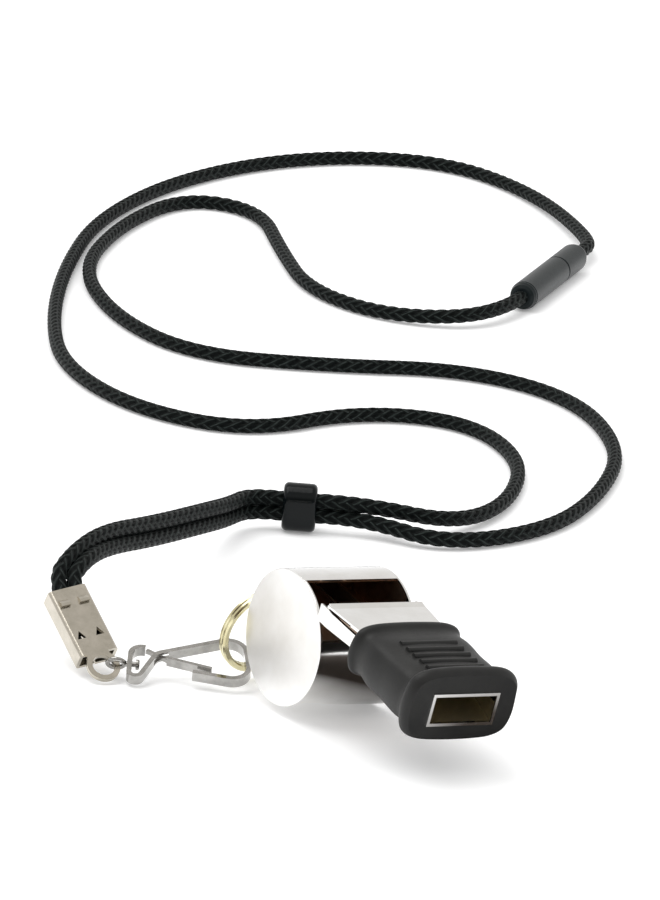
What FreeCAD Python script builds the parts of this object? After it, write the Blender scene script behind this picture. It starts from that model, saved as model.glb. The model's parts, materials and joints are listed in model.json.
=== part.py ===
import FreeCAD, Part
import Sketcher
import math
import os

# Training whistle on a neck lanyard, lying on a flat table (z = 0), all lengths in millimetres.
# X runs to the right and Y away from the viewer; the whistle lies near the origin with its
# mouthpiece pointing forward and to the right, the lanyard is laid out behind it.
# The whistle's own frame: x along the windway towards the mouth, y to the right plate, z up.

V = FreeCAD.Vector
os.makedirs("parts", exist_ok=True)
doc = FreeCAD.newDocument("training_whistle")

PARAMS = {
    # whistle
    "barrel_r": 11.0,
    "sheet_t": 0.5,
    "body_w": 18.3,
    "mouth_x": 38.4,
    "mouth_half_w": 6.2,
    "taper_x": 10.3,
    "floor_z": 4.4,
    "floor_rear_z": 7.2,
    "roof_z": 9.5,
    "roof_rear_z": 10.0,
    "roof_rear_x": 9.2,
    "roof_inset": 0.2,
    "edge_round": 0.18,
    "seam_h": 0.7,
    # inner walls
    "divider_y": 2.2,
    "divider_t": 0.4,
    "divider_top": 7.0,
    "baffle_z": 3.0,
    "baffle_t": 0.4,
    # lug
    "lug_t": 1.0,
    "lug_x": 13.1,
    "lug_turn": 1.0,
    "lug_hole_r": 2.05,
    "lug_outer_r": 2.95,
    # rubber grip
    "grip_rear_x": 18.8,
    "grip_front_x": 38.0,
    "rib_r": 0.55,
    "rib_len": 10.4,
    "rib_pitch": 2.05,
    "rib_first_x": 25.2,
    "rib_z": 11.85,
    # split ring
    "ring_r": 6.9,
    "ring_half_t": 0.55,
    "ring_half_w": 0.8,
    # hook
    "strip_t": 0.8,
    "strip_w": 1.7,
    "gate_t": 0.55,
    "gate_w": 1.6,
    "gate_neck_w": 0.7,
    "ring_under_hook": 0.8,
    "slot_w": 1.0,
    "stem_r": 0.45,
    "stem_hole_r": 0.5,
    "eye_r": 1.35,
    "eye_wire_r": 0.4,
    # crimp
    "crimp_w": 6.9,
    "crimp_len": 12.8,
    "crimp_h": 3.7,
    "crimp_sheet": 0.6,
    "tab_r": 2.3,
    "tab_half_w": 0.45,
    "tab_t": 0.7,
    # lanyard
    "cord_d": 2.5,
    "bead_len": 5.8,
    "bead_w": 5.8,
    "bead_h": 8.4,
    "bead_bore_r": 1.6,
    "cord_gap": 2.6,
    "breakaway_r": 2.7,
    "socket_len": 22.5,
    "plug_len": 12.5,
    "prong_len": 5.0,
    "prong_r": 1.5,
    "prong_clear": 0.06,
    "plug_bore_r": 1.55,
    "plug_bore_len": 10.3,
}

sheet = doc.addObject("Spreadsheet::Sheet", "Sizes")
for row, (alias, value) in enumerate(PARAMS.items(), start=1):
    sheet.set("A%d" % row, alias)
    sheet.set("B%d" % row, "%g" % value)
    sheet.setAlias("B%d" % row, alias)
doc.recompute()

P = PARAMS
HALF_W = P["body_w"] / 2

# ---------------------------------------------------------------- placements
# the table frame is moved so that the origin lies under the middle of the whistle and hook
SHIFT = V(1.6, 8.15, 0.0)


def table(x, y, z):
    return V(x, y, z) + SHIFT


WHISTLE = FreeCAD.Placement(table(6.9, 2.1, 11.72), FreeCAD.Rotation(-57.7, 10.6, -4.7))

# the hook lies on the table with its far side raised; x along it, y across it, z out of it
HOOK_TILT = 22.0
HOOK = FreeCAD.Placement(table(-8.3, 5.0, 1.7), FreeCAD.Rotation(V(1, 0, 0), HOOK_TILT))
EYE_U, EYE_V = -18.8, 2.6
EYE_TILT = -68.0
RIVET_U = -15.6

# the crimp stands up from its end ring; x across it, y along it towards the cords
CRIMP_W = V(0.85, 0.505, 0.145).normalize()
CRIMP_L = V(-0.485, 0.631, 0.607)
CRIMP_N = CRIMP_W.cross(CRIMP_L).normalize()
CRIMP_L = CRIMP_N.cross(CRIMP_W).normalize()
CRIMP_ROT = FreeCAD.Rotation(CRIMP_W, CRIMP_L, CRIMP_N, "XYZ")


def in_frame(placement, x, y, z):
    return placement.multVec(V(x, y, z))


EYE_AT = in_frame(HOOK, EYE_U, EYE_V, 0)
TAB_AT = EYE_AT - CRIMP_W * P["tab_r"]
TAB_GAP = 2.55
TAB_SIDE = 0.4
TAB_LIFT = P["crimp_h"] / 2 - P["tab_t"] / 2
CRIMP_BASE = TAB_AT + CRIMP_W * TAB_SIDE + CRIMP_L * TAB_GAP - CRIMP_N * TAB_LIFT
CRIMP = FreeCAD.Placement(CRIMP_BASE, CRIMP_ROT)

# the breakaway lies on the table; its z axis runs from the socket's cord end to the plug's
BREAK_START = table(38.0, 250.5, 2.75)
BREAK_DIR = V(0.295, 0.955, 0).normalize()
BREAK = FreeCAD.Placement(BREAK_START, FreeCAD.Rotation(V(0, 0, 1), BREAK_DIR))


# ---------------------------------------------------------------- helpers
def new_body(label, placement):
    body = doc.addObject("PartDesign::Body", label)
    body.Label = label
    body.Placement = placement
    return body


def plane_sketch(body, role, offset=0.0, turn=0.0):
    sk = body.newObject("Sketcher::SketchObject", body.Label + "_sk")
    plane = [f for f in body.Origin.OriginFeatures if f.Role == role][0]
    sk.AttachmentSupport = [(plane, "")]
    sk.MapMode = "FlatFace"
    sk.AttachmentOffset = FreeCAD.Placement(V(0, 0, offset), FreeCAD.Rotation(V(0, 0, 1), turn))
    return sk


def add_loop(sk, points):
    ends = list(points[1:]) + [points[0]]
    for a, b in zip(points, ends):
        sk.addGeometry(Part.LineSegment(V(a[0], a[1], 0), V(b[0], b[1], 0)), False)


def add_circle(sk, x, y, r):
    return sk.addGeometry(Part.Circle(V(x, y, 0), V(0, 0, 1), r), False)


def bound_circle(sk, x, y, r, alias, formula=None):
    """A circle whose radius follows the sheet."""
    g = add_circle(sk, x, y, r)
    c = sk.addConstraint(Sketcher.Constraint("Radius", g, r))
    sk.setExpression("Constraints[%d]" % c, formula or "Sizes." + alias)
    return g


def pad(body, sk, length, formula=None, midplane=False, reverse=False):
    f = body.newObject("PartDesign::Pad", body.Label + "_pad")
    f.Profile = sk
    f.Length = length
    f.Midplane = midplane
    f.Reversed = reverse
    if formula:
        f.setExpression("Length", formula)
    sk.Visibility = False
    body.Tip = f
    doc.recompute()
    return f


def pocket(body, sk, length, midplane=False, reverse=False):
    before = body.Shape.Volume
    f = body.newObject("PartDesign::Pocket", body.Label + "_cut")
    f.Profile = sk
    f.Length = length
    f.Midplane = midplane
    f.Reversed = reverse
    sk.Visibility = False
    body.Tip = f
    doc.recompute()
    if not body.Shape.Volume < before - 1e-6:
        raise RuntimeError("the pocket in %s removed nothing" % body.Label)
    return f


def round_edges(body, radius, keep):
    """Fillet the edges of the body's tip that keep() accepts."""
    base = body.Tip
    names = ["Edge%d" % (i + 1) for i, e in enumerate(base.Shape.Edges) if keep(e)]
    f = body.newObject("PartDesign::Fillet", body.Label + "_round")
    f.Base = (base, names)
    f.Radius = radius
    body.Tip = f
    doc.recompute()
    return f


def arc3(a, b, c):
    return Part.Arc(V(a[0], a[1], 0), V(b[0], b[1], 0), V(c[0], c[1], 0))


def duct_half(x):
    """Outer half width of the windway at x."""
    run = (x - P["taper_x"]) / (P["mouth_x"] - P["taper_x"])
    return HALF_W + (P["mouth_half_w"] - HALF_W) * max(run, 0.0)


def floor_at(x):
    """Underside of the windway floor: level behind the sleeve, then falling to the mouth."""
    run = (x - P["grip_rear_x"]) / (P["mouth_x"] - P["grip_rear_x"])
    return P["floor_rear_z"] + (P["floor_z"] - P["floor_rear_z"]) * run


def roof_at(x):
    """Underside of the windway roof, inside the sleeve."""
    run = (x - P["grip_rear_x"]) / (P["mouth_x"] - P["grip_rear_x"])
    return P["roof_rear_z"] + (P["roof_z"] - P["roof_rear_z"]) * run


def rounded_path(points, share=0.45):
    """Straight runs joined by tangent arcs; returns the wire and the smallest radius."""
    pts = [V(p) for p in points]
    edges = []
    radii = []
    start = pts[0]
    for before, corner, after in zip(pts, pts[1:], pts[2:]):
        into = (corner - before).normalize()
        out = (after - corner).normalize()
        turn = into.getAngle(out)
        cut = share * min((corner - before).Length, (after - corner).Length)
        radius = cut / math.tan(turn / 2)
        a = corner - into * cut
        b = corner + out * cut
        bisector = (out - into).normalize()
        mid = corner + bisector * (radius / math.cos(turn / 2) - radius)
        edges.append(Part.LineSegment(start, a).toShape())
        edges.append(Part.Arc(a, mid, b).toShape())
        radii.append(radius)
        start = b
    edges.append(Part.LineSegment(start, pts[-1]).toShape())
    return Part.Wire(edges), min(radii)


# ---------------------------------------------------------------- whistle, metal
def side_plate(label, side):
    """Flat cheek: a disc closing the barrel and a thin wall running along the windway."""
    body = new_body(label, WHISTLE)
    inner = HALF_W - P["sheet_t"]
    sk = plane_sketch(body, "XZ_Plane", inner if side < 0 else -inner)
    bound_circle(sk, 0, 0, P["barrel_r"], "barrel_r")
    pad(body, sk, P["sheet_t"], "Sizes.sheet_t", reverse=side > 0)
    round_edges(body, P["edge_round"], lambda e: is_outer_rim(e, side))
    t = P["sheet_t"]
    x0, x1 = P["taper_x"] - 2.7, P["mouth_x"]
    neck = plane_sketch(body, "XY_Plane", P["floor_z"])
    outline = [
        (x0, side * HALF_W),
        (P["taper_x"], side * HALF_W),
        (x1, side * duct_half(x1)),
        (x1, side * (duct_half(x1) - t)),
        (P["taper_x"], side * (HALF_W - t)),
        (x0, side * (HALF_W - t)),
    ]
    add_loop(neck, outline if side < 0 else outline[::-1])
    pad(body, neck, P["roof_rear_z"] - P["floor_z"], "Sizes.roof_rear_z - Sizes.floor_z")
    trim_neck_top(body)
    trim_neck_bottom(body)
    return body


def trim_neck_top(body):
    """A wedge-shaped gap under the roof's edge, widest where the sleeve begins."""
    sk = plane_sketch(body, "XZ_Plane")
    z, x1, x2, x3 = P["roof_rear_z"], P["taper_x"] + 0.2, P["grip_rear_x"] + 0.5, 26.0
    end = P["mouth_x"] + 1.0
    add_loop(sk, [(x1, z - 0.1), (x2, z - P["seam_h"]), (x3, roof_at(x3)), (end, roof_at(end)),
                  (end, z + 1), (x1, z + 1)])
    pocket(body, sk, 2 * P["body_w"], midplane=True)


def trim_neck_bottom(body):
    """The wall's lower edge follows the windway floor, starting on the disc's rim."""
    sk = plane_sketch(body, "XZ_Plane")
    r, low, high = P["barrel_r"], P["floor_z"] - 0.2, P["floor_rear_z"]
    turns = [math.asin(low / r), math.asin((low + high) / 2 / r), math.asin(high / r)]
    rim = [(r * math.cos(a), r * math.sin(a)) for a in turns]
    knee, end = P["grip_rear_x"], P["mouth_x"] + 1.0
    sk.addGeometry(arc3(*rim), False)
    corners = [rim[2], (knee, high), (end, floor_at(end)), (end, low), rim[0]]
    for a, b in zip(corners, corners[1:]):
        sk.addGeometry(Part.LineSegment(V(a[0], a[1], 0), V(b[0], b[1], 0)), False)
    pocket(body, sk, 2 * P["body_w"], midplane=True)


def is_outer_rim(edge, side):
    """The disc's outer circular edge."""
    if not isinstance(edge.Curve, Part.Circle) or edge.Curve.Radius < P["barrel_r"] - 0.01:
        return False
    return abs(edge.CenterOfMass.y - side * HALF_W) < 1e-3


def barrel_wrap():
    """Rolled sheet closing the barrel from the window's rear lip round to the windway floor."""
    body = new_body("barrel_wrap", WHISTLE)
    ro = P["barrel_r"]
    ri = ro - P["sheet_t"]
    a0, a1 = math.radians(82.5), math.radians(400.2)
    sk = plane_sketch(body, "XZ_Plane")
    up = V(0, 0, 1)
    sk.addGeometry(Part.ArcOfCircle(Part.Circle(V(0, 0, 0), up, ro), a0, a1), False)
    sk.addGeometry(Part.ArcOfCircle(Part.Circle(V(0, 0, 0), up, ri), a0, a1), False)
    for a in (a0, a1):
        u = V(math.cos(a), math.sin(a), 0)
        sk.addGeometry(Part.LineSegment(u * ri, u * ro), False)
    pad(body, sk, P["body_w"] - 2 * P["sheet_t"], "Sizes.body_w - 2 * Sizes.sheet_t", midplane=True)
    return body


def bent_sheet(body, line):
    """Sheet standing on a side-view line of the windway, wider than the body."""
    t = P["sheet_t"]
    sk = plane_sketch(body, "XZ_Plane")
    add_loop(sk, line + [(x, z + t) for x, z in reversed(line)])
    pad(body, sk, P["body_w"] + 2, "Sizes.body_w + 2", midplane=True)


def trim_sides(body, x0, half0, x1, half1):
    """Cut the sheet's two long edges to the windway's taper."""
    sk = plane_sketch(body, "XY_Plane", P["roof_rear_z"] + 5)
    far = P["body_w"]
    slope = (half1 - half0) / (x1 - x0)
    a, b = x0 - 2, x1 + 1
    for side in (-1, 1):
        ya, yb, y_far = side * half0, side * (half1 + slope), side * far
        add_loop(sk, [(a, ya), (x0, ya), (b, yb), (b, y_far), (a, y_far)])
    pocket(body, sk, 20.0)


def duct_floor():
    """Floor of the windway, between the two cheeks, bent down towards the mouth."""
    body = new_body("duct_floor", WHISTLE)
    t = P["sheet_t"]
    x0, knee, x1 = P["taper_x"], P["grip_rear_x"], P["mouth_x"]
    bent_sheet(body, [(8.45, P["floor_rear_z"]), (knee, P["floor_rear_z"]), (x1, P["floor_z"])])
    trim_sides(body, x0, duct_half(x0) - t, x1, duct_half(x1) - t)
    return body


def duct_roof():
    """Roof of the windway, lying on the cheeks, with a small turned-up lip at the window."""
    body = new_body("duct_roof", WHISTLE)
    x0, knee, x1 = P["roof_rear_x"], P["grip_rear_x"], P["mouth_x"]
    z = P["roof_rear_z"]
    bent_sheet(body, [(x0, z), (knee, z), (x1, P["roof_z"])])
    trim_sides(body, x0, HALF_W - P["roof_inset"], x1, duct_half(x1) - 0.02)
    lip = plane_sketch(body, "XZ_Plane")
    top = z + P["sheet_t"]
    add_loop(lip, [(x0, top - 0.3), (x0 + 1.2, top - 0.3), (x0 + 1.2, top), (x0, top + 0.3)])
    pad(body, lip, 2 * (HALF_W - P["roof_inset"]) - 0.4, midplane=True)
    return body


def divider(label, side):
    """Wall between the deep middle chamber and one outer chamber."""
    body = new_body(label, WHISTLE)
    r = P["barrel_r"] - P["sheet_t"] - 0.02
    y = side * P["divider_y"]
    sk = plane_sketch(body, "XZ_Plane", -y)
    top = math.pi - math.asin(P["divider_top"] / r)
    end = math.radians(386)
    arc = Part.ArcOfCircle(Part.Circle(V(0, 0, 0), V(0, 0, 1), r), top, end)
    sk.addGeometry(arc, False)
    a = V(r * math.cos(end), r * math.sin(end), 0)
    b = V(r * math.cos(top), r * math.sin(top), 0)
    knee = V(P["divider_top"] + 0.6, P["divider_top"], 0)
    sk.addGeometry(Part.LineSegment(a, knee), False)
    sk.addGeometry(Part.LineSegment(knee, b), False)
    pad(body, sk, P["divider_t"], "Sizes.divider_t", midplane=True)
    return body


def baffle(label, side):
    """Shallow floor of one outer chamber."""
    body = new_body(label, WHISTLE)
    z0, t = P["baffle_z"], P["baffle_t"]
    r = P["barrel_r"] - P["sheet_t"] - 0.03
    reach = math.sqrt(r * r - (z0 + t) ** 2)
    y0 = side * (P["divider_y"] + P["divider_t"] / 2)
    y1 = side * (HALF_W - P["sheet_t"])
    sk = plane_sketch(body, "XY_Plane", z0)
    lo, hi = min(y0, y1), max(y0, y1)
    add_loop(sk, [(-reach, lo), (reach, lo), (reach, hi), (-reach, hi)])
    pad(body, sk, t, "Sizes.baffle_t")
    return body


def ring_lug():
    """Plate lug brazed to the back of the barrel; the split ring runs through its hole."""
    body = new_body("ring_lug", WHISTLE)
    x, r = -P["lug_x"], P["lug_outer_r"]
    foot = 3.4
    xf = -math.sqrt(P["barrel_r"] ** 2 - foot ** 2)
    sk = plane_sketch(body, "XZ_Plane", turn=P["lug_turn"])
    sk.addGeometry(arc3((xf, foot), (-P["barrel_r"], 0), (xf, -foot)), False)
    sk.addGeometry(Part.LineSegment(V(xf, -foot, 0), V(x, -r, 0)), False)
    sk.addGeometry(arc3((x, -r), (x - r, 0), (x, r)), False)
    sk.addGeometry(Part.LineSegment(V(x, r, 0), V(xf, foot, 0)), False)
    pad(body, sk, P["lug_t"], "Sizes.lug_t", midplane=True)
    hole = plane_sketch(body, "XZ_Plane", turn=P["lug_turn"])
    bound_circle(hole, x, 0, P["lug_hole_r"], "lug_hole_r")
    pocket(body, hole, 4.0, midplane=True)
    return body


# ---------------------------------------------------------------- whistle, rubber
GRIP_SECTIONS = [
    # along the windway, half width, lowest z, highest z
    (18.8, 9.5, 3.6, 12.1),
    (19.1, 9.9, 3.2, 12.5),
    (19.9, 9.9, 3.2, 12.5),
    (20.4, 9.6, 3.5, 12.2),
    (23.0, 9.5, 3.3, 12.1),
    (28.0, 9.4, 2.9, 12.0),
    (33.0, 9.3, 2.5, 12.1),
    (35.0, 9.4, 2.3, 12.4),
    (35.6, 9.9, 1.7, 13.3),
    (37.5, 9.9, 1.6, 13.4),
    (38.0, 9.4, 2.2, 12.9),
]


def grip_section(body, x, half_w, z_low, z_high):
    """Pillow-shaped section. Sketch x is the whistle's y, sketch y its z."""
    sk = plane_sketch(body, "YZ_Plane", x)
    zc, half_h = (z_low + z_high) / 2, (z_high - z_low) / 2
    power = 2 / 4.0
    count = 16
    points = []
    for k in range(count):
        a = 2 * math.pi * (k + 0.5) / count
        c, s = math.cos(a), math.sin(a)
        px = math.copysign(abs(c) ** power, c) * half_w
        pz = math.copysign(abs(s) ** power, s) * half_h
        points.append(V(px, zc + pz, 0))
    curve = Part.BSplineCurve()
    curve.interpolate(Points=points, PeriodicFlag=True)
    sk.addGeometry(curve, False)
    return sk


def mouth_grip():
    """Rubber sleeve stretched over the mouthpiece: a rim at each end and ribs on top."""
    body = new_body("mouth_grip", WHISTLE)
    sections = [grip_section(body, *row) for row in GRIP_SECTIONS]
    loft = body.newObject("PartDesign::AdditiveLoft", "grip_sleeve")
    loft.Profile = sections[0]
    loft.Sections = sections[1:]
    body.Tip = loft
    doc.recompute()
    for k in range(5):
        add_rib(body, P["rib_first_x"] + k * P["rib_pitch"], k)
    cut_windway(body)
    return body


def add_rib(body, x, k):
    """One low rounded cross rib on top of the sleeve."""
    sk = plane_sketch(body, "XZ_Plane")
    bound_circle(sk, x, P["rib_z"] + 0.03 * k, P["rib_r"], "rib_r")
    pad(body, sk, P["rib_len"], "Sizes.rib_len", midplane=True)


def windway_section(body, x):
    sk = plane_sketch(body, "YZ_Plane", x)
    h = duct_half(x)
    z0, z1 = floor_at(x), roof_at(x) + P["sheet_t"]
    add_loop(sk, [(-h, z0), (h, z0), (h, z1), (-h, z1)])
    return sk


def cut_windway(body):
    """The hole through the sleeve is the outside of the metal windway."""
    f = body.newObject("PartDesign::SubtractiveLoft", "grip_hole")
    f.Profile = windway_section(body, P["grip_rear_x"] - 0.5)
    f.Sections = [windway_section(body, P["grip_front_x"] + 0.5)]
    body.Tip = f
    doc.recompute()


# ---------------------------------------------------------------- ring and hook
# the ring hangs in the lug's hole and passes under the strip near the top of the hook's bend
LUG_TURN = math.radians(P["lug_turn"])
LUG_AT = in_frame(WHISTLE, -P["lug_x"] * math.cos(LUG_TURN), 0, -P["lug_x"] * math.sin(LUG_TURN))
BEND_U, BEND_V = 1.95, 6.8
UNDER_STRIP = P["strip_w"] / 2 + P["ring_half_t"] + P["ring_under_hook"]
BEND_AT = in_frame(HOOK, BEND_U, BEND_V, -UNDER_STRIP)
CHORD = LUG_AT - BEND_AT
RING_HINT = V(0.56, -0.79, -0.24)
RING_NORMAL = (RING_HINT - CHORD * (RING_HINT.dot(CHORD) / CHORD.dot(CHORD))).normalize()
RING_SIDE = RING_NORMAL.cross(CHORD).normalize()
if RING_SIDE.x > 0:
    RING_SIDE = RING_SIDE * -1
RING_SAG = math.sqrt(max(P["ring_r"] ** 2 - (CHORD.Length / 2) ** 2, 0.0))
RING_AT = (LUG_AT + BEND_AT) * 0.5 + RING_SIDE * RING_SAG
RING = FreeCAD.Placement(RING_AT, FreeCAD.Rotation(V(0, 0, 1), RING_NORMAL))


def split_ring():
    """Two flat coils side by side, with the groove between them showing inside and outside."""
    body = new_body("split_ring", RING)
    r, t, w = P["ring_r"], P["ring_half_t"], P["ring_half_w"]
    g, c = 0.16, 0.25
    outer = [(r - t + c, -w), (r + t - c, -w), (r + t, -w + c), (r + t, -g), (r + t - g, 0)]
    outer += [(r + t, g), (r + t, w - c), (r + t - c, w), (r - t + c, w), (r - t, w - c)]
    outer += [(r - t, g), (r - t + g, 0), (r - t, -g), (r - t, -w + c)]
    sk = plane_sketch(body, "XZ_Plane")
    add_loop(sk, outer)
    f = body.newObject("PartDesign::Revolution", "ring_turn")
    f.Profile = sk
    f.ReferenceAxis = (sk, ["V_Axis"])
    f.Angle = 360
    body.Tip = f
    doc.recompute()
    return body


HOOK_PATH = [
    (-6.4, 1.1),
    (3.0, -0.3),
    (1.3, 10.9),
    (-12.5, 4.95),
    (-14.9, -1.1),
    (-16.6, -0.8),
    (-16.6, 6.5),
    (-14.3, 6.3),
]
HOOK_RADII = [2.7, 3.0, 1.8, 1.0, 1.0, 1.8]
CROSSING = (-12.1, 5.2)


def path_geometry(points, radii):
    """Lines and tangent arcs of a flat path with a chosen radius at each inner point."""
    geo = []
    start = V(points[0][0], points[0][1], 0)
    for i, radius in enumerate(radii):
        before = V(points[i][0], points[i][1], 0)
        corner = V(points[i + 1][0], points[i + 1][1], 0)
        after = V(points[i + 2][0], points[i + 2][1], 0)
        into = (corner - before).normalize()
        out = (after - corner).normalize()
        turn = into.getAngle(out)
        cut = radius * math.tan(turn / 2)
        a = corner - into * cut
        b = corner + out * cut
        mid = corner + (out - into).normalize() * (radius / math.cos(turn / 2) - radius)
        geo.append(Part.LineSegment(start, a))
        geo.append(Part.Arc(a, mid, b))
        start = b
    geo.append(Part.LineSegment(start, V(points[-1][0], points[-1][1], 0)))
    return geo


def strip_outline(sk, points, radii, thickness):
    """Closed outline of a bent strip: the path offset by half the thickness to each side."""
    half = thickness / 2
    rows = []
    for side in (1, -1):
        pts = [V(p[0], p[1], 0) for p in points]
        moved = offset_points(pts, side * half)
        bent = offset_radii(pts, radii, side * half)
        rows.append(path_geometry([(p.x, p.y) for p in moved], bent))
    for geo in rows:
        for g in geo:
            sk.addGeometry(g, False)
    for end in (0, -1):
        a = rows[0][end]
        b = rows[1][end]
        pa = a.StartPoint if end == 0 else a.EndPoint
        pb = b.StartPoint if end == 0 else b.EndPoint
        sk.addGeometry(Part.LineSegment(pa, pb), False)


def offset_points(pts, shift):
    """Corner points of a polyline moved sideways by shift (positive to the left)."""
    out = []
    for i, p in enumerate(pts):
        into = (p - pts[i - 1]).normalize() if i else None
        away = (pts[i + 1] - p).normalize() if i + 1 < len(pts) else None
        if into is None or away is None:
            d = away or into
            out.append(p + V(-d.y, d.x, 0) * shift)
            continue
        n0, n1 = V(-into.y, into.x, 0), V(-away.y, away.x, 0)
        m = (n0 + n1).normalize()
        out.append(p + m * (shift / m.dot(n0)))
    return out


def offset_radii(pts, radii, shift):
    """Radii of the moved path: larger outside a bend and smaller inside it."""
    out = []
    for i, r in enumerate(radii):
        into = pts[i + 1] - pts[i]
        away = pts[i + 2] - pts[i + 1]
        left_turn = into.cross(away).z > 0
        out.append(r - shift if left_turn else r + shift)
    return out


def hook_body():
    """Bent spring strip: tip, round bend, long leg, crossing, and the closed tail at the eye."""
    body = new_body("hook_body", HOOK)
    sk = plane_sketch(body, "XY_Plane")
    strip_outline(sk, HOOK_PATH, HOOK_RADII, P["strip_t"])
    pad(body, sk, P["strip_w"], "Sizes.strip_w", midplane=True)
    slot = plane_sketch(body, "XY_Plane")
    x, y = CROSSING
    add_loop(slot, [(x - 2.0, y - 1.9), (x + 1.6, y - 1.9), (x + 1.6, y + 1.3), (x - 1.0, y + 1.3)])
    pocket(body, slot, P["slot_w"], midplane=True)
    hole = plane_sketch(body, "YZ_Plane", -17.6)
    bound_circle(hole, EYE_V, 0, P["stem_hole_r"], "stem_hole_r")
    pocket(body, hole, 1.6, reverse=True)
    return body


GATE_PIVOT = (-14.1, 6.2)
GATE_KNEE = (-10.2, 4.0)
GATE_END = (-3.4, 2.3)


def quad(a, b, thickness):
    """Four corners of a straight strip from a to b."""
    d = V(b[0] - a[0], b[1] - a[1], 0).normalize()
    n = V(-d.y, d.x, 0) * (thickness / 2)
    return [(a[0] + n.x, a[1] + n.y), (a[0] - n.x, a[1] - n.y),
            (b[0] - n.x, b[1] - n.y), (b[0] + n.x, b[1] + n.y)]


def hook_gate():
    """Sprung gate: a narrow neck through the slot in the long leg, then a wide blade."""
    body = new_body("hook_gate", HOOK)
    t = P["gate_t"]
    neck = plane_sketch(body, "XY_Plane")
    add_loop(neck, quad(GATE_PIVOT, GATE_KNEE, t))
    pad(body, neck, P["gate_neck_w"], "Sizes.gate_neck_w", midplane=True)
    blade = plane_sketch(body, "XY_Plane")
    lead = V(GATE_END[0] - GATE_KNEE[0], GATE_END[1] - GATE_KNEE[1], 0).normalize() * 0.5
    start = (GATE_KNEE[0] - lead.x, GATE_KNEE[1] - lead.y)
    add_loop(blade, quad(start, GATE_END, t))
    pad(body, blade, P["gate_w"], "Sizes.gate_w", midplane=True)
    return body


def swivel_eye():
    """Small eye with a stem that turns in the hole in the hook's tail."""
    tilt = FreeCAD.Rotation(V(1, 0, 0), EYE_TILT)
    body = new_body("swivel_eye", HOOK.multiply(FreeCAD.Placement(V(EYE_U, EYE_V, 0), tilt)))
    wire = plane_sketch(body, "XZ_Plane")
    bound_circle(wire, P["eye_r"], 0, P["eye_wire_r"], "eye_wire_r")
    ring = body.newObject("PartDesign::Revolution", "eye_turn")
    ring.Profile = wire
    ring.ReferenceAxis = (wire, ["V_Axis"])
    ring.Angle = 360
    body.Tip = ring
    doc.recompute()
    stem = plane_sketch(body, "YZ_Plane", P["eye_r"] + 0.1)
    bound_circle(stem, 0, 0, P["stem_r"], "stem_r")
    pad(body, stem, RIVET_U - EYE_U - P["eye_r"] - 0.1)
    return body


def swivel_rivet():
    """Peened head that keeps the stem in the hook's tail."""
    place = HOOK.multiply(FreeCAD.Placement(V(RIVET_U, EYE_V, 0), FreeCAD.Rotation(V(0, 1, 0), 90)))
    body = new_body("swivel_rivet", place)
    sk = plane_sketch(body, "XY_Plane")
    add_circle(sk, 0, 0, 0.85)
    pad(body, sk, 0.6)
    round_edges(body, 0.3, lambda e: abs(e.BoundBox.ZMin - 0.6) < 1e-3)
    return body


# ---------------------------------------------------------------- crimp
def crimp_clamp():
    """Folded sheet clamp squeezed round both cord ends, with a ring tab for the swivel eye."""
    body = new_body("crimp_clamp", CRIMP)
    w, h, s = P["crimp_w"] / 2, P["crimp_h"] / 2, P["crimp_sheet"]
    sk = plane_sketch(body, "XZ_Plane")
    add_loop(sk, [(-w, -h), (w, -h), (w, h), (-w, h)])
    pad(body, sk, P["crimp_len"], "Sizes.crimp_len", reverse=True)
    round_edges(body, 0.7, lambda e: e.BoundBox.YLength > 5)
    bore = plane_sketch(body, "XZ_Plane")
    add_loop(bore, [(-w + s, -h + s), (w - s, -h + s), (w - s, h - s), (-w + s, h - s)])
    pocket(body, bore, P["crimp_len"] + 1)
    seam = plane_sketch(body, "XY_Plane", -h - 1)
    add_loop(seam, [(-0.15, -1), (0.15, -1), (0.15, 20), (-0.15, 20)])
    pocket(body, seam, 1 + s, reverse=True)
    holes = plane_sketch(body, "XY_Plane", h + 1)
    for x in (-1.7, 1.6):
        add_loop(holes, [(x - 0.75, 3.1), (x + 0.75, 3.1), (x, 4.6)])
    pocket(body, holes, 1 + s)
    for x in (-1.7, 1.7):
        add_louvre(body, x, 10.2, h)
    add_tab(body, h)
    return body


def add_louvre(body, x, y, h):
    """Small raised tongue on the clamp's face, highest at its free lower edge."""
    sk = plane_sketch(body, "YZ_Plane", x)
    add_loop(sk, [(y - 0.6, h - 0.2), (y - 0.75, h + 0.5), (y - 0.3, h + 0.6), (y + 0.9, h - 0.2)])
    pad(body, sk, 1.7, midplane=True)


def add_tab(body, h):
    """Ring-shaped tab running on from the clamp's face."""
    low = h - P["tab_t"]
    outer = P["tab_r"] + P["tab_half_w"]
    neck = plane_sketch(body, "XY_Plane", low)
    x, top = -TAB_SIDE, -TAB_GAP + 1.8
    add_loop(neck, [(x - 2.0, 0.3), (x - 2.0, top), (x + 2.0, top), (x + 2.0, 0.3)])
    pad(body, neck, P["tab_t"], "Sizes.tab_t")
    disc = plane_sketch(body, "XY_Plane", low)
    add_circle(disc, x, -TAB_GAP, outer)
    pad(body, disc, P["tab_t"], "Sizes.tab_t")
    hole = plane_sketch(body, "XY_Plane", low - 0.5)
    add_circle(hole, x, -TAB_GAP, P["tab_r"] - P["tab_half_w"])
    pocket(body, hole, 3.0, reverse=True)


# ---------------------------------------------------------------- lanyard
SLIDER_AT = table(0.0, 97.3, 4.2)
UPPER_Z = SLIDER_AT.z + P["cord_gap"] / 2
LOWER_Z = SLIDER_AT.z - P["cord_gap"] / 2


def crimp_point(side, along):
    return CRIMP.multVec(V(side * P["cord_gap"] / 2, along, 0))


def break_point(along):
    return BREAK_START + BREAK_DIR * along


BREAK_LEN = P["socket_len"] + P["plug_len"]

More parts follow.
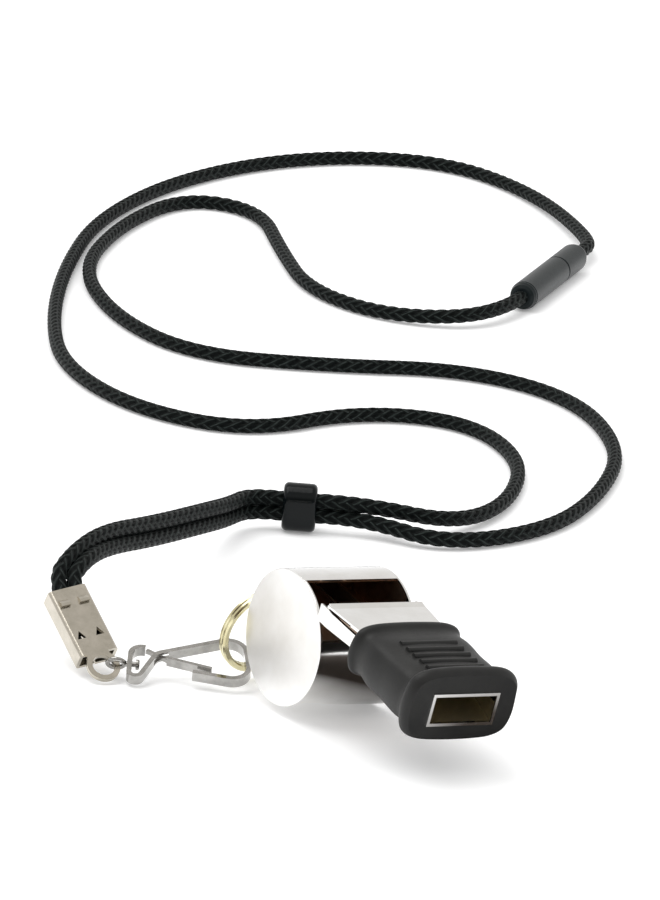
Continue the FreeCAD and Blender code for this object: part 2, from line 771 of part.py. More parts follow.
CORD_A = [
    crimp_point(-1, 5.0),
    crimp_point(-1, 19.9),
    table(-33.4, 38.0, 13.2),
    table(-26.5, 61.0, 7.8),
    table(-20.5, 84.9, 5.2),
    table(-14.0, 97.3, UPPER_Z),
    table(14.0, 97.3, UPPER_Z),
    table(27.0, 101.5, 2.2),
    table(36.0, 119.0, 1.3),
    table(38.5, 146.0, 1.3),
    table(29.0, 168.0, 1.3),
    table(9.0, 169.5, 1.3),
    table(-10.0, 151.0, 1.3),
    table(-31.0, 160.0, 1.3),
    table(-45.0, 184.0, 1.3),
    table(-48.5, 215.0, 1.3),
    table(-48.0, 252.0, 1.3),
    table(-43.5, 290.0, 1.3),
    table(-29.0, 325.0, 1.3),
    table(-6.0, 350.0, 1.3),
    table(22.0, 356.0, 1.3),
    table(41.0, 335.0, 1.3),
    break_point(BREAK_LEN + 15.5),
    break_point(BREAK_LEN - 3.0),
]

CORD_B = [
    crimp_point(1, 5.0),
    crimp_point(1, 18.0),
    table(-29.8, 38.2, 10.4),
    table(-24.0, 60.0, 5.6),
    table(-18.6, 82.6, 2.9),
    table(-12.5, 97.3, LOWER_Z),
    table(12.5, 97.3, LOWER_Z),
    table(25.5, 91.0, 1.5),
    table(43.0, 105.0, 1.3),
    table(52.0, 129.0, 1.3),
    table(56.0, 158.0, 1.3),
    table(48.0, 189.0, 1.3),
    table(28.0, 202.5, 1.3),
    table(2.0, 198.0, 1.3),
    table(-22.0, 198.5, 1.3),
    table(-37.0, 219.0, 1.3),
    table(-45.0, 251.0, 1.3),
    table(-39.5, 285.0, 1.3),
    table(-28.0, 310.5, 1.3),
    table(-12.5, 305.0, 1.3),
    table(-8.0, 277.0, 1.3),
    table(-2.0, 249.0, 1.3),
    table(14.0, 234.5, 1.3),
    break_point(-15.0),
    break_point(3.0),
]


def cord(label, points):
    """One run of round braided cord as a plain tube."""
    wire, smallest = rounded_path(points)
    print(label, "length %.1f mm" % wire.Length, "smallest radius %.1f mm" % smallest)
    runs = [(b - a).Length for a, b in zip(points, points[1:])]
    print("   runs", " ".join("%.0f" % r for r in runs))
    start = points[0]
    profile = Part.Wire(Part.makeCircle(P["cord_d"] / 2, start, points[1] - start))
    tube = wire.makePipeShell([profile], True, False)
    if tube.ShapeType != "Solid":
        tube = Part.Solid(tube)
    expected = math.pi * (P["cord_d"] / 2) ** 2 * wire.Length
    if abs(tube.Volume - expected) > 0.005 * expected:
        raise RuntimeError("%s volume %.0f is not %.0f" % (label, tube.Volume, expected))
    f = doc.addObject("Part::Feature", label)
    f.Label = label
    f.Shape = tube
    return f


def oval_loop(sk, r, half_gap):
    """Upright stadium outline."""
    sk.addGeometry(arc3((r, half_gap), (0, half_gap + r), (-r, half_gap)), False)
    sk.addGeometry(Part.LineSegment(V(-r, half_gap, 0), V(-r, -half_gap, 0)), False)
    sk.addGeometry(arc3((-r, -half_gap), (0, -half_gap - r), (r, -half_gap)), False)
    sk.addGeometry(Part.LineSegment(V(r, -half_gap, 0), V(r, half_gap, 0)), False)


def slider_bead():
    """Short oval tube that slides along the doubled cords."""
    body = new_body("slider_bead", FreeCAD.Placement(SLIDER_AT, FreeCAD.Rotation(0, 0, 0)))
    sk = plane_sketch(body, "YZ_Plane")
    oval_loop(sk, P["bead_w"] / 2, (P["bead_h"] - P["bead_w"]) / 2)
    pad(body, sk, P["bead_len"], "Sizes.bead_len", midplane=True)
    round_edges(body, 0.9, lambda e: e.BoundBox.XLength < 1e-3)
    bore = plane_sketch(body, "YZ_Plane")
    oval_loop(bore, P["bead_bore_r"], P["cord_gap"] / 2)
    pocket(body, bore, 20.0, midplane=True)
    return body


def revolved(label, placement, profile):
    """Solid of revolution about the local z axis; profile holds (radius, height) pairs."""
    body = new_body(label, placement)
    sk = plane_sketch(body, "XZ_Plane")
    add_loop(sk, profile)
    f = body.newObject("PartDesign::Revolution", label + "_turn")
    f.Profile = sk
    f.ReferenceAxis = (sk, ["V_Axis"])
    f.Angle = 360
    body.Tip = f
    doc.recompute()
    return body


def breakaway_socket():
    """Long half of the breakaway: a cord bore at one end and a prong bore at the other."""
    r, n = P["breakaway_r"], P["socket_len"]
    c = P["cord_d"] / 2
    bore = P["prong_r"] + P["prong_clear"]
    deep = n - P["prong_len"] - 0.3
    profile = [(c, 0), (r - 0.9, 0), (r - 0.35, 0.35), (r - 0.1, 1.2), (r - 0.1, 1.5), (r, 1.7)]
    profile += [(r, n - 0.3), (r - 0.25, n), (bore, n), (bore, deep), (0, deep), (0, 3.0), (c, 3.0)]
    return revolved("breakaway_socket", BREAK, profile)


def breakaway_plug():
    """Short half of the breakaway: a round prong that snaps into the socket and a cord bore."""
    r, n = P["breakaway_r"], P["plug_len"]
    c, deep = P["plug_bore_r"], n - P["plug_bore_len"]
    place = FreeCAD.Placement(break_point(P["socket_len"]), BREAK.Rotation)
    g = 0.05
    q, m = P["prong_r"], P["prong_len"]
    profile = [(0, -m), (q - 0.4, -m), (q, -m + 0.5), (q, g), (r - 0.25, g), (r, g + 0.3)]
    profile += [(r, n - 1.7), (r - 0.1, n - 1.5), (r - 0.1, n - 1.2), (r - 0.35, n - 0.35)]
    profile += [(r - 0.8, n), (c, n), (c, deep), (0, deep)]
    return revolved("breakaway_plug", place, profile)


# ---------------------------------------------------------------- build
def build_all():
    return [
        side_plate("left_side_plate", -1),
        side_plate("right_side_plate", 1),
        barrel_wrap(),
        duct_floor(),
        duct_roof(),
        divider("left_divider", -1),
        divider("right_divider", 1),
        baffle("left_baffle", -1),
        baffle("right_baffle", 1),
        ring_lug(),
        mouth_grip(),
        split_ring(),
        hook_body(),
        hook_gate(),
        swivel_eye(),
        swivel_rivet(),
        crimp_clamp(),
        cord("cord_a", CORD_A),
        cord("cord_b", CORD_B),
        slider_bead(),
        breakaway_socket(),
        breakaway_plug(),
    ]


def check_all(nodes):
    for obj in doc.Objects:
        bad = [s for s in obj.State if s in ("Invalid", "Error")]
        if bad:
            raise RuntimeError("%s is %s" % (obj.Label, bad))
    for node in nodes:
        if node.Shape.isNull() or not node.Shape.isValid():
            raise RuntimeError("%s has a bad shape" % node.Label)
        if len(node.Shape.Solids) != 1:
            raise RuntimeError("%s has %d solids" % (node.Label, len(node.Shape.Solids)))


NODES = build_all()
doc.recompute()
check_all(NODES)
box = FreeCAD.BoundBox()
for node in NODES:
    solid = node.Shape
    solid.exportStep("parts/%s.step" % node.Label)
    b = solid.BoundBox
    print("%-20s %9.2f mm3  x %.1f..%.1f  y %.1f..%.1f  z %.2f..%.2f" % (
        node.Label, solid.Volume, b.XMin, b.XMax, b.YMin, b.YMax, b.ZMin, b.ZMax))
    if not node.Label.startswith(("cord", "slider", "breakaway")):
        box.add(b)
print("whistle, hook and crimp box", box)
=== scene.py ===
"""Looks of the training whistle and its neck lanyard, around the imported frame.

Metres, Z up, the same frame as the CAD: the whistle lies near the origin and the lanyard is
laid out behind it, along +Y.
"""

import json
import math

import bpy
import numpy as np
from mathutils import Matrix, Vector


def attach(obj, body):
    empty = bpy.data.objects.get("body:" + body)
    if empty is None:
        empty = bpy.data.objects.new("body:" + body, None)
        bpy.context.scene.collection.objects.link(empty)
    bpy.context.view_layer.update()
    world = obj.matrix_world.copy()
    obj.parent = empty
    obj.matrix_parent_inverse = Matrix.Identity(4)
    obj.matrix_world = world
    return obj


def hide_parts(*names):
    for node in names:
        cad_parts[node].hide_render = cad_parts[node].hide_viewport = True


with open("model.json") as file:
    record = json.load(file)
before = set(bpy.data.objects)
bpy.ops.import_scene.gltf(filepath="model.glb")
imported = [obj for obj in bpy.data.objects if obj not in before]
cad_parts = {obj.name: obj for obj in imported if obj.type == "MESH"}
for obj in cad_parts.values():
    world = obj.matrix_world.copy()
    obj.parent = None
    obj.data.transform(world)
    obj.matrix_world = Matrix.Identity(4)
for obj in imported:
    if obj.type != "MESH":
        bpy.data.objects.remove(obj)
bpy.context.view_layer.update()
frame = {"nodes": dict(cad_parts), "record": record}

MM = 0.001
NODES = frame["nodes"]


# ------------------------------------------------------------------ camera
CAMERA_AT = (0.0060, -1.27575, 0.4172)
CAMERA_DOWN = 16.246  # degrees below the horizon
CAMERA_ROLL = 4.5  # degrees, about the line of sight
SENSOR = 36.0  # mm
CAMERA_LENS = 338.6  # mm


def make_camera():
    data = bpy.data.cameras.new("camera")
    data.lens = CAMERA_LENS
    data.sensor_width = SENSOR
    data.clip_start, data.clip_end = 0.05, 20.0
    cam = bpy.data.objects.new("camera", data)
    bpy.context.scene.collection.objects.link(cam)
    tilt = Matrix.Rotation(math.radians(90.0 - CAMERA_DOWN), 4, "X")
    roll = Matrix.Rotation(math.radians(CAMERA_ROLL), 4, "Z")
    cam.matrix_world = Matrix.Translation(CAMERA_AT) @ tilt @ roll
    bpy.context.scene.camera = cam


# Control points of the two routes, from the crimp through the bead to the breakaway.
CORD_A = [
    (-0.0322, 0.0196, 0.0056),
    (-0.0370, 0.0262, 0.0119),
    (-0.0343, 0.0334, 0.0151),
    (-0.0298, 0.0458, 0.0153),
    (-0.0223, 0.0627, 0.0122),
    (-0.0136, 0.0842, 0.0089),
    (-0.0103, 0.0966, 0.0064),
    (-0.0074, 0.1055, 0.0055),
    (0.0006, 0.1055, 0.0055),
    (0.0130, 0.1055, 0.0055),
    (0.0286, 0.1097, 0.0022),
    (0.0376, 0.1272, 0.0013),
    (0.0401, 0.1542, 0.0013),
    (0.0306, 0.1762, 0.0013),
    (0.0106, 0.1777, 0.0013),
    (-0.0084, 0.1592, 0.0013),
    (-0.0294, 0.1681, 0.0013),
    (-0.0434, 0.1922, 0.0013),
    (-0.0469, 0.2232, 0.0013),
    (-0.0464, 0.2601, 0.0013),
    (-0.0419, 0.2981, 0.0013),
    (-0.0274, 0.3332, 0.0013),
    (-0.0044, 0.3581, 0.0013),
    (0.0236, 0.3641, 0.0013),
    (0.0426, 0.3431, 0.0013),
    (0.0535, 0.3037, 0.00275),
    (0.0508, 0.2950, 0.00275),
    (0.0490, 0.2892, 0.00275),
]

CORD_B = [
    (-0.0300, 0.0209, 0.0060),
    (-0.0345, 0.0267, 0.0117),
    (-0.0320, 0.0330, 0.0142),
    (-0.0288, 0.0452, 0.0129),
    (-0.0221, 0.0623, 0.0096),
    (-0.0136, 0.0838, 0.0063),
    (-0.0105, 0.0962, 0.0038),
    (-0.0074, 0.1055, 0.0029),
    (0.0006, 0.1055, 0.0029),
    (0.0130, 0.1055, 0.0029),
    (0.0271, 0.0992, 0.0015),
    (0.0446, 0.1132, 0.0013),
    (0.0536, 0.1371, 0.0013),
    (0.0576, 0.1661, 0.0013),
    (0.0496, 0.1971, 0.0013),
    (0.0296, 0.2107, 0.0013),
    (0.0036, 0.2061, 0.0013),
    (-0.0204, 0.2067, 0.0013),
    (-0.0354, 0.2272, 0.0013),
    (-0.0434, 0.2591, 0.0013),
    (-0.0379, 0.2931, 0.0013),
    (-0.0264, 0.3186, 0.0013),
    (-0.0109, 0.3131, 0.0013),
    (-0.0064, 0.2851, 0.0013),
    (-0.0004, 0.2571, 0.0013),
    (0.0156, 0.2427, 0.0013),
    (0.0352, 0.2443, 0.00275),
    (0.0405, 0.2615, 0.00275),
]


def spline_line(name, points):
    """Points along the smooth line of a route: a quadratic NURBS with the route's points."""
    data = bpy.data.curves.new(name, "CURVE")
    data.dimensions = "3D"
    data.resolution_u = 24
    spline = data.splines.new("NURBS")
    spline.points.add(len(points) - 1)
    for control, p in zip(spline.points, points):
        control.co = (*p, 1.0)
    spline.order_u = 3
    spline.use_endpoint_u = True
    obj = bpy.data.objects.new(name, data)
    mesh = bpy.data.meshes.new_from_object(obj)
    line = np.array([v.co[:] for v in mesh.vertices])
    bpy.data.meshes.remove(mesh)
    bpy.data.objects.remove(obj)
    bpy.data.curves.remove(data)
    return line


def even_steps(line, step):
    """The same line at even distances, as near to step as its length allows."""
    along = np.concatenate([[0.0], np.cumsum(np.linalg.norm(np.diff(line, axis=0), axis=1))])
    count = int(round(along[-1] / step))
    at = np.linspace(0.0, along[-1], count + 1)
    return np.stack([np.interp(at, along, line[:, k]) for k in range(3)], axis=1), at


def turning_frames(points):
    """Two sideways unit vectors at every point, carried along the line without twist."""
    ahead = np.gradient(points, axis=0)
    ahead /= np.linalg.norm(ahead, axis=1)[:, None]
    side = np.zeros_like(points)
    start = np.cross(ahead[0], (0.0, 0.0, 1.0))
    side[0] = start / np.linalg.norm(start)
    for i in range(1, len(points)):
        v = side[i - 1] - ahead[i] * side[i - 1].dot(ahead[i])
        side[i] = v / np.linalg.norm(v)
    return side, np.cross(ahead, side)


# The braid: strands wind both ways round the cord and float over two and under two of the
# others. Right-handed strands are counted by a, left-handed ones by b.
STRANDS = 6
LAY = 14.0 * MM  # one full turn of a strand
STEPS = 5  # mesh steps across a strand
CORE_R = 0.90 * MM
STRAND_RISE = 0.36 * MM  # a strand's own thickness above the core
FLOAT_RISE = 0.10 * MM  # how much it lifts over the strands it crosses
FLOAT = 4.0  # strands crossed in one over-and-under
ROWS_A_TURN = 2 * STRANDS * STEPS


def float_wave(q):
    """Plus one in the middle of a float, minus one where the strand runs underneath."""
    return np.cos(2 * math.pi / FLOAT * (q - 1.0))


def round_top(across):
    """Height of a round strand at a distance from its middle of -0.5 to 0.5."""
    return np.sqrt(np.clip(1.0 - (2.0 * across) ** 2, 0.0, 1.0))


def strand_heights(a, b):
    """Height of either family of strands over the core, in metres."""
    i, j = np.floor(a), np.floor(b)
    round_a, round_b = round_top(a - i - 0.5), round_top(b - j - 0.5)
    high_a = FLOAT_RISE * float_wave(np.mod(i + b, FLOAT)) + STRAND_RISE * round_a
    high_b = -FLOAT_RISE * float_wave(np.mod(a + j, FLOAT)) + STRAND_RISE * round_b
    return high_a, high_b


def braid_mesh(name, points, at):
    """A tube along the points with the braid's strands raised on it.

    Rows stand LAY / ROWS_A_TURN apart and every other row is turned by half a step, so the mesh
    edges run along the strands.
    """
    side, up = turning_frames(points)
    rows, ring = len(points), STRANDS * STEPS
    step = at[1] - at[0]
    k, m = np.meshgrid(np.arange(rows), np.arange(ring), indexing="ij")
    turn = (m + 0.5 * (k % 2)) / ring
    pitch = ROWS_A_TURN * step
    a = STRANDS * (turn + k * step / pitch)
    b = STRANDS * (turn - k * step / pitch)
    high_a, high_b = strand_heights(a, b)
    r = CORE_R + np.maximum(high_a, high_b)
    angle = 2 * math.pi * turn
    co = points[:, None, :] + side[:, None, :] * (r * np.cos(angle))[:, :, None]
    co = co + up[:, None, :] * (r * np.sin(angle))[:, :, None]
    faces = []
    for row in range(rows - 2):
        turned = row % 2 == 1
        base0, base1, base2 = row * ring, (row + 1) * ring, (row + 2) * ring
        for n in range(ring):
            left = n if turned else (n - 1) % ring
            right = (left + 1) % ring
            faces.append((base0 + n, base1 + right, base2 + n, base1 + left))
    faces += end_faces(rows, ring)
    mesh = bpy.data.meshes.new(name)
    mesh.from_pydata(co.reshape(-1, 3).tolist(), [], faces)
    mesh.polygons.foreach_set("use_smooth", [True] * len(mesh.polygons))
    add_strand_attribute(mesh, a.reshape(-1), b.reshape(-1))
    mesh.validate()
    return mesh


def end_faces(rows, ring):
    """Triangles that fill the zigzag of the first two and last two rows, and the two end caps."""
    faces = []
    top, under = (rows - 1) * ring, (rows - 2) * ring
    for n in range(ring):
        right = (n + 1) % ring
        faces.append((n, right, ring + n))
        if (rows - 1) % 2 == 0:
            faces.append((top + n, under + n, top + right))
        else:
            faces.append((top + n, under + right, top + right))
    faces.append(tuple(range(ring - 1, -1, -1)))
    faces.append(tuple(range(top, top + ring)))
    return faces


def mesh_numbers(items, field):
    values = np.zeros(len(items), np.int64)
    items.foreach_get(field, values)
    return values


def float_number(strand, float_count, strand_step, float_step, start):
    """A number that scatters neighbouring floats, so that the fibres differ between them."""
    return np.mod(strand * strand_step + float_count * float_step + start, 31.0)


def add_strand_attribute(mesh, a, b):
    """Per face corner: where it lies across its strand, along its float, and a strand number."""
    loops = mesh_numbers(mesh.loops, "vertex_index")
    totals = mesh_numbers(mesh.polygons, "loop_total")
    starts = mesh_numbers(mesh.polygons, "loop_start")
    face_of = np.repeat(np.arange(len(totals)), totals)
    la, lb = a[loops], b[loops]
    # a corner whose turn wrapped round is moved back beside its face's first corner
    first_a, first_b = la[starts][face_of], lb[starts][face_of]
    wrap = np.round(((la - first_a) + (lb - first_b)) / (2.0 * STRANDS)) * STRANDS
    la, lb = la - wrap, lb - wrap
    mid_a = np.add.reduceat(la, starts)[face_of] / totals[face_of]
    mid_b = np.add.reduceat(lb, starts)[face_of] / totals[face_of]
    high_a, high_b = strand_heights(mid_a, mid_b)
    on_a = high_a >= high_b
    i, j = np.floor(mid_a), np.floor(mid_b)
    place_a, place_b = i + mid_b, mid_a + j - FLOAT / 2
    across = np.where(on_a, la - i, lb - j)
    along = np.where(on_a, np.mod(place_a, FLOAT) + lb - mid_b,
                     np.mod(place_b, FLOAT) + la - mid_a)
    number = np.where(on_a, float_number(i, np.floor(place_a / FLOAT), 7.0, 3.0, 0.0),
                      float_number(j, np.floor(place_b / FLOAT), 5.0, 11.0, 16.0))
    layer = mesh.attributes.new("strand", "FLOAT_VECTOR", "CORNER")
    values = np.stack([across, along, number], axis=1).astype(np.float32)
    layer.data.foreach_set("vector", values.reshape(-1))


def make_cord(name, route, node, material):
    line = spline_line(name + "_line", route)
    points, at = even_steps(line, LAY / ROWS_A_TURN)
    mesh = braid_mesh(name, points, at)
    mesh.materials.append(material)
    obj = bpy.data.objects.new(name, mesh)
    bpy.context.scene.collection.objects.link(obj)
    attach(obj, "lanyard")
    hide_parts(node)


# ------------------------------------------------------------------ materials
def new_material(name, **values):
    """A material whose Principled shader has these socket values. Returns it and its tree."""
    mat = bpy.data.materials.new(name)
    mat.use_nodes = True
    shader = mat.node_tree.nodes["Principled BSDF"]
    for socket, value in values.items():
        shader.inputs[socket.replace("_", " ")].default_value = value
    return mat, mat.node_tree, shader


def add(tree, kind, inputs=(), **settings):
    """A new node with its settings, and its inputs set to values or linked to sockets."""
    made = tree.nodes.new(kind)
    for key, value in settings.items():
        setattr(made, key, value)
    for key, value in dict(inputs).items():
        if isinstance(value, bpy.types.NodeSocket):
            tree.links.new(value, made.inputs[key])
        else:
            made.inputs[key].default_value = value
    return made


def object_space(tree):
    return add(tree, "ShaderNodeTexCoord").outputs["Object"]


def noise(tree, where, scale, detail=3.0, rough=0.5):
    made = add(tree, "ShaderNodeTexNoise",
               {"Vector": where, "Scale": scale, "Detail": detail, "Roughness": rough})
    return made.outputs["Fac"]


def ramp(tree, value, low, high):
    """Blend from low to high as value goes from 0 to 1. low and high are (position, colour)."""
    made = add(tree, "ShaderNodeValToRGB", {"Fac": value})
    for element, (position, colour) in zip(made.color_ramp.elements, (low, high)):
        element.position = position
        element.color = (*colour, 1.0)
    return made.outputs["Color"]


def fade(tree, value, none_at, full_at):
    """Nought at none_at, one at full_at, in a straight line between."""
    made = add(tree, "ShaderNodeMapRange",
               {"Value": value, "From Min": none_at, "From Max": full_at})
    return made.outputs["Result"]


def spread(tree, value, low, high):
    """The value 0..1 stretched to low..high."""
    made = add(tree, "ShaderNodeMapRange", {"Value": value, "To Min": low, "To Max": high})
    return made.outputs["Result"]


def bump(tree, height, depth, strength=1.0):
    made = add(tree, "ShaderNodeBump", {"Height": height, "Distance": depth, "Strength": strength})
    return made.outputs["Normal"]


def calc(tree, operation, a, b=0.0):
    """One arithmetic step on sockets or plain numbers."""
    return add(tree, "ShaderNodeMath", {0: a, 1: b}, operation=operation).outputs["Value"]


def both(tree, a, b):
    return calc(tree, "MULTIPLY", a, b)


def less(tree, a, b):
    """One where a is below b, nought elsewhere."""
    return calc(tree, "LESS_THAN", a, b)


def blend_colour(tree, factor, low, high):
    """The colour low at factor 0 and high at factor 1. Either may be a plain colour."""
    made = add(tree, "ShaderNodeMix", {"Factor": factor}, data_type="RGBA")
    for key, value in (("A", low), ("B", high)):
        socket = [i for i in made.inputs if i.name == key and i.type == "RGBA"][0]
        if isinstance(value, bpy.types.NodeSocket):
            tree.links.new(value, socket)
        else:
            socket.default_value = (*value, 1.0)
    return [o for o in made.outputs if o.type == "RGBA"][0]


def braid_material():
    """Dark green-black threads: fine fibres along every strand, greyer on its crest as a painted
    highlight.
    """
    mat, tree, shader = new_material("braided_cord", Metallic=0.0, Sheen_Weight=0.012,
                                     Sheen_Roughness=0.35, Specular_IOR_Level=0.07)
    strand = add(tree, "ShaderNodeAttribute", attribute_name="strand").outputs["Vector"]
    stretched = add(tree, "ShaderNodeMapping", {"Vector": strand, "Scale": (11.0, 0.9, 1.0)})
    fibre = noise(tree, stretched.outputs["Vector"], 1.0, 2.0, 0.6)
    parts = add(tree, "ShaderNodeSeparateXYZ", {"Vector": strand}).outputs
    # painted highlight: the colour turns greyer towards the middle of each strand, its crest
    off_crest = calc(tree, "ABSOLUTE", calc(tree, "SUBTRACT", parts["X"], 0.5))
    crest = calc(tree, "SUBTRACT", 1.0, calc(tree, "MULTIPLY", off_crest, 2.6))
    light = calc(tree, "MULTIPLY", calc(tree, "MAXIMUM", crest, 0.0), fibre)
    colour = ramp(tree, light, (0.28, (0.0014, 0.0026, 0.0025)), (0.72, (0.048, 0.060, 0.056)))
    tree.links.new(colour, shader.inputs["Base Color"])
    tree.links.new(spread(tree, fibre, 0.36, 0.60), shader.inputs["Roughness"])
    tree.links.new(bump(tree, fibre, 0.00012, 0.9), shader.inputs["Normal"])
    return mat


# The whistle's own frame: where it sits and its windway, sideways and upward directions.
WHISTLE_AT = (0.0085, 0.01025, 0.01172)
WHISTLE_AXES = ((0.5252, -0.8308, -0.1840), (0.8344, 0.5453, -0.0805), (0.1672, -0.1112, 0.9796))


def whistle_coordinates(tree):
    """Distances in millimetres along the windway, sideways and upwards."""
    moved = add(tree, "ShaderNodeVectorMath", {0: object_space(tree), 1: WHISTLE_AT},
                operation="SUBTRACT").outputs["Vector"]
    out = []
    for axis in WHISTLE_AXES:
        scaled = tuple(v * 1000.0 for v in axis)
        out.append(add(tree, "ShaderNodeVectorMath", {0: moved, 1: scaled},
                       operation="DOT_PRODUCT").outputs["Value"])
    return out


# Millimetres in that frame. The windway narrows by TAPER on either side for every millimetre.
BARREL_INSIDE_R = 10.75
INSIDE_HALF_W = 8.9
CHEEK_Y = 9.05  # the flat outer faces lie beyond this
TAPER = 0.105
WINDWAY_HALF_W, SEAM_HALF_W = 9.98, 9.2  # half widths carried back to the barrel's axis
WINDWAY_X = (7.4, 38.0)
WINDWAY_Z = (4.65, 10.2)
MOUTH_LIGHT_X = 24.0  # painted light: the windway's inside is paler in front of this
SEAM_Z = 8.3


def half_width(tree, x, at_axis):
    return calc(tree, "SUBTRACT", at_axis, calc(tree, "MULTIPLY", x, TAPER))


def inside_mask(tree):
    """One on the surfaces inside the barrel and the windway, nought on the outside."""
    x, y, z = whistle_coordinates(tree)
    wide = calc(tree, "ABSOLUTE", y)
    radius = calc(tree, "POWER", calc(tree, "ADD", both(tree, x, x), both(tree, z, z)), 0.5)
    barrel = both(tree, less(tree, radius, BARREL_INSIDE_R), less(tree, wide, INSIDE_HALF_W))
    narrow = calc(tree, "MINIMUM", half_width(tree, x, WINDWAY_HALF_W), INSIDE_HALF_W)
    windway = less(tree, wide, narrow)
    for value, (low, high) in ((x, WINDWAY_X), (z, WINDWAY_Z)):
        windway = both(tree, windway, both(tree, less(tree, low, value), less(tree, value, high)))
    return calc(tree, "MAXIMUM", barrel, windway)


def seam_shadow_mask(tree):
    """One in the narrow seams under the long edges of the windway's roof, where black is painted
    as shadow.
    """
    x, y, z = whistle_coordinates(tree)
    wide = calc(tree, "ABSOLUTE", y)
    return both(tree, less(tree, half_width(tree, x, SEAM_HALF_W), wide), less(tree, SEAM_Z, z))


def plated_steel():
    """Bright plating outside; inside the barrel and the windway a dark brown as painted shade,
    paler towards the mouth as painted light; black in the seams as painted shadow.
    """
    mat, tree, shader = new_material("plated_steel", Metallic=1.0)
    where = object_space(tree)
    cloud = noise(tree, where, 220.0, 4.0, 0.55)
    inside = inside_mask(tree)
    outer = ramp(tree, cloud, (0.3, (0.80, 0.79, 0.77)), (0.7, (0.88, 0.875, 0.865)))
    # painted shade: dark brown on the surfaces inside the barrel and the windway
    inner = ramp(tree, cloud, (0.3, (0.42, 0.29, 0.20)), (0.7, (0.62, 0.47, 0.36)))
    # painted light: the inside turns a light brass colour in front of the mouth
    mouth_light = less(tree, MOUTH_LIGHT_X, whistle_coordinates(tree)[0])
    inner = blend_colour(tree, mouth_light, inner, (0.80, 0.72, 0.52))
    # painted shadow: black in the seams under the roof's edges
    inner = blend_colour(tree, seam_shadow_mask(tree), inner, (0.03, 0.022, 0.018))
    tree.links.new(blend_colour(tree, inside, outer, inner), shader.inputs["Base Color"])
    fine = noise(tree, where, 2600.0, 3.0, 0.6)
    flat = less(tree, CHEEK_Y, calc(tree, "ABSOLUTE", whistle_coordinates(tree)[1]))
    smooth = calc(tree, "ADD", spread(tree, fine, 0.07, 0.15), calc(tree, "MULTIPLY", flat, 0.22))
    dull = spread(tree, fine, 0.24, 0.40)
    rough = add(tree, "ShaderNodeMix", {"Factor": inside, "A": smooth, "B": dull})
    tree.links.new(rough.outputs["Result"], shader.inputs["Roughness"])
    tree.links.new(bump(tree, cloud, 0.00004, 0.35), shader.inputs["Normal"])
    return mat


def polished_metal(name, dark, bright, rough, scale=420.0):
    """Plated or drawn metal with a little unevenness in tone, shine and surface."""
    mat, tree, shader = new_material(name, Metallic=1.0)
    where = object_space(tree)
    cloud = noise(tree, where, scale, 4.0, 0.6)
    tree.links.new(ramp(tree, cloud, (0.32, dark), (0.68, bright)), shader.inputs["Base Color"])
    fine = noise(tree, where, 3200.0, 3.0, 0.6)
    tree.links.new(spread(tree, fine, rough * 0.6, rough * 1.5), shader.inputs["Roughness"])
    tree.links.new(bump(tree, fine, 0.00002, 0.4), shader.inputs["Normal"])
    return mat


def moulded(name, dark, bright, rough, grain, depth, level):
    """Rubber or plastic out of a mould: fine grain and faint changes of tone."""
    mat, tree, shader = new_material(name, Specular_IOR_Level=level)
    where = object_space(tree)
    cloud = noise(tree, where, 180.0, 4.0, 0.6)
    tree.links.new(ramp(tree, cloud, (0.3, dark), (0.7, bright)), shader.inputs["Base Color"])
    skin = noise(tree, where, grain, 4.0, 0.6)
    tree.links.new(spread(tree, skin, rough * 0.75, rough * 1.25), shader.inputs["Roughness"])
    tree.links.new(bump(tree, skin, depth, 0.6), shader.inputs["Normal"])
    return mat


MATERIALS = {
    "plated_steel": plated_steel(),
    "grip_rubber": moulded("grip_rubber", (0.010, 0.010, 0.010), (0.017, 0.017, 0.016),
                           0.46, 3800.0, 0.00003, 0.26),
    "brassy_ring": polished_metal("brassy_ring", (0.56, 0.51, 0.31), (0.74, 0.69, 0.46), 0.17),
    "nickel_strip": polished_metal("nickel_strip", (0.30, 0.295, 0.28), (0.46, 0.45, 0.435), 0.12),
    "warm_nickel": polished_metal("warm_nickel", (0.46, 0.43, 0.365), (0.57, 0.53, 0.46), 0.19),
    "braided_cord": braid_material(),
    "black_gloss": moulded("black_gloss", (0.0018, 0.0030, 0.0034), (0.0034, 0.0050, 0.0056),
                           0.15, 1500.0, 0.00001, 0.16),
    "dark_satin": moulded("dark_satin", (0.0060, 0.0092, 0.0100), (0.0100, 0.0145, 0.0155),
                          0.34, 2600.0, 0.00002, 0.14),
}


def finish_cad_nodes():
    for row in frame["record"]["subparts"]:
        obj = NODES[row["node"]]
        obj.data.materials.clear()
        obj.data.materials.append(MATERIALS[row["material_slot"]])


# ------------------------------------------------------------------ floor and light
# Painted shade on the floor, seen only by reflections: the patch's centre and its two radii.
SHADE_PATCH_AT = (0.040, -0.004, 0.0)
SHADE_PATCH_R = (0.022, 0.034)  # fully dark within the first, gone beyond the second
SEEN_GLOW, GLOSSY_GLOW = 0.16, 0.25  # light added to the floor for the eye and for reflections


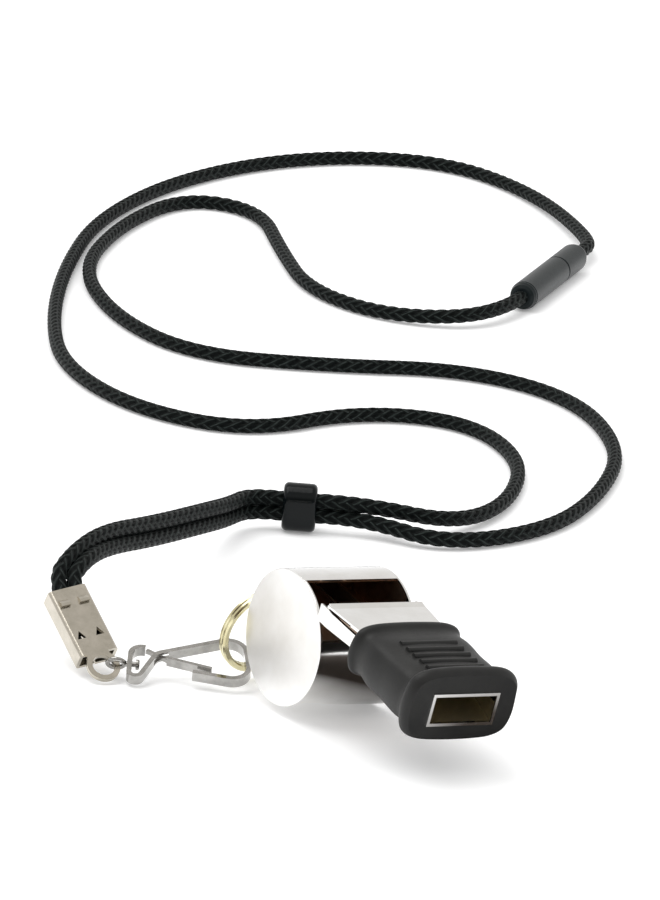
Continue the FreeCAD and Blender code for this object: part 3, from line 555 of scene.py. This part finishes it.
def make_floor():
    """White table. Plating sees it glow brighter as painted light, and a dark patch on it under
    the mouthpiece as painted shade.
    """
    mesh = bpy.data.meshes.new("floor")
    s, z = 4.0, -0.1 * MM
    mesh.from_pydata([(-s, -s, z), (s, -s, z), (s, s, z), (-s, s, z)], [], [(0, 1, 2, 3)])
    mat, tree, shader = new_material("floor_white", Roughness=0.9)
    where = object_space(tree)
    tone = ramp(tree, noise(tree, where, 3.0), (0.3, (0.94, 0.94, 0.94)),
                (0.7, (0.96, 0.96, 0.96)))
    away = add(tree, "ShaderNodeVectorMath", {0: where, 1: SHADE_PATCH_AT},
               operation="DISTANCE").outputs["Value"]
    path = add(tree, "ShaderNodeLightPath").outputs
    # painted shade: reflections see the floor dark brown round the patch
    shade = both(tree, fade(tree, away, SHADE_PATCH_R[1], SHADE_PATCH_R[0]), path["Is Glossy Ray"])
    tone = blend_colour(tree, shade, tone, (0.030, 0.020, 0.014))
    tree.links.new(tone, shader.inputs["Base Color"])
    shader.inputs["Emission Color"].default_value = (1.0, 1.0, 1.0, 1.0)
    # painted light: reflections see the rest of the floor glow brighter
    clear = calc(tree, "SUBTRACT", path["Is Glossy Ray"], shade)
    glow = calc(tree, "ADD", calc(tree, "MULTIPLY", path["Is Camera Ray"], SEEN_GLOW),
                calc(tree, "MULTIPLY", clear, GLOSSY_GLOW))
    tree.links.new(glow, shader.inputs["Emission Strength"])
    mesh.materials.append(mat)
    obj = bpy.data.objects.new("floor", mesh)
    bpy.context.scene.collection.objects.link(obj)


def make_world():
    """White to the eye; as light, a bright room with a dark brown wall low down at the front."""
    world = bpy.data.worlds.new("studio")
    bpy.context.scene.world = world
    world.use_nodes = True
    tree = world.node_tree
    back = tree.nodes["Background"]
    way = add(tree, "ShaderNodeTexCoord").outputs["Generated"]
    parts = add(tree, "ShaderNodeSeparateXYZ", {"Vector": way}).outputs
    room = ramp(tree, parts["Z"], (0.10, (1.0, 1.0, 1.0)), (0.85, (0.74, 0.72, 0.69)))
    at_wall = both(tree, fade(tree, parts["Y"], -0.25, -0.80), fade(tree, parts["Z"], 0.62, 0.30))
    wall = blend_colour(tree, at_wall, room, (0.13, 0.095, 0.07))
    path = add(tree, "ShaderNodeLightPath").outputs
    lit = blend_colour(tree, path["Is Glossy Ray"], (0.97, 0.97, 0.97), wall)
    seen = blend_colour(tree, path["Is Camera Ray"], lit, (1.0, 1.0, 1.0))
    tree.links.new(seen, back.inputs["Color"])
    back.inputs["Strength"].default_value = 1.0


def make_lamp(name, at, look_at, size, power):
    data = bpy.data.lights.new(name, "AREA")
    data.shape = "RECTANGLE"
    data.size, data.size_y = size
    data.energy = power
    lamp = bpy.data.objects.new(name, data)
    bpy.context.scene.collection.objects.link(lamp)
    lamp.location = at
    aim = Vector(look_at) - Vector(at)
    lamp.rotation_euler = aim.to_track_quat("-Z", "Y").to_euler()


# ------------------------------------------------------------------ build
make_camera()
make_cord("lanyard_cord_a", CORD_A, "cord_a",
          MATERIALS["braided_cord"])
make_cord("lanyard_cord_b", CORD_B, "cord_b",
          MATERIALS["braided_cord"])
finish_cad_nodes()
make_floor()
make_world()
make_lamp("key", (-0.5, 0.1, 1.3), (0.0, 0.1, 0.0), (1.1, 1.1), 9.0)
bpy.context.scene.view_settings.view_transform = "Standard"
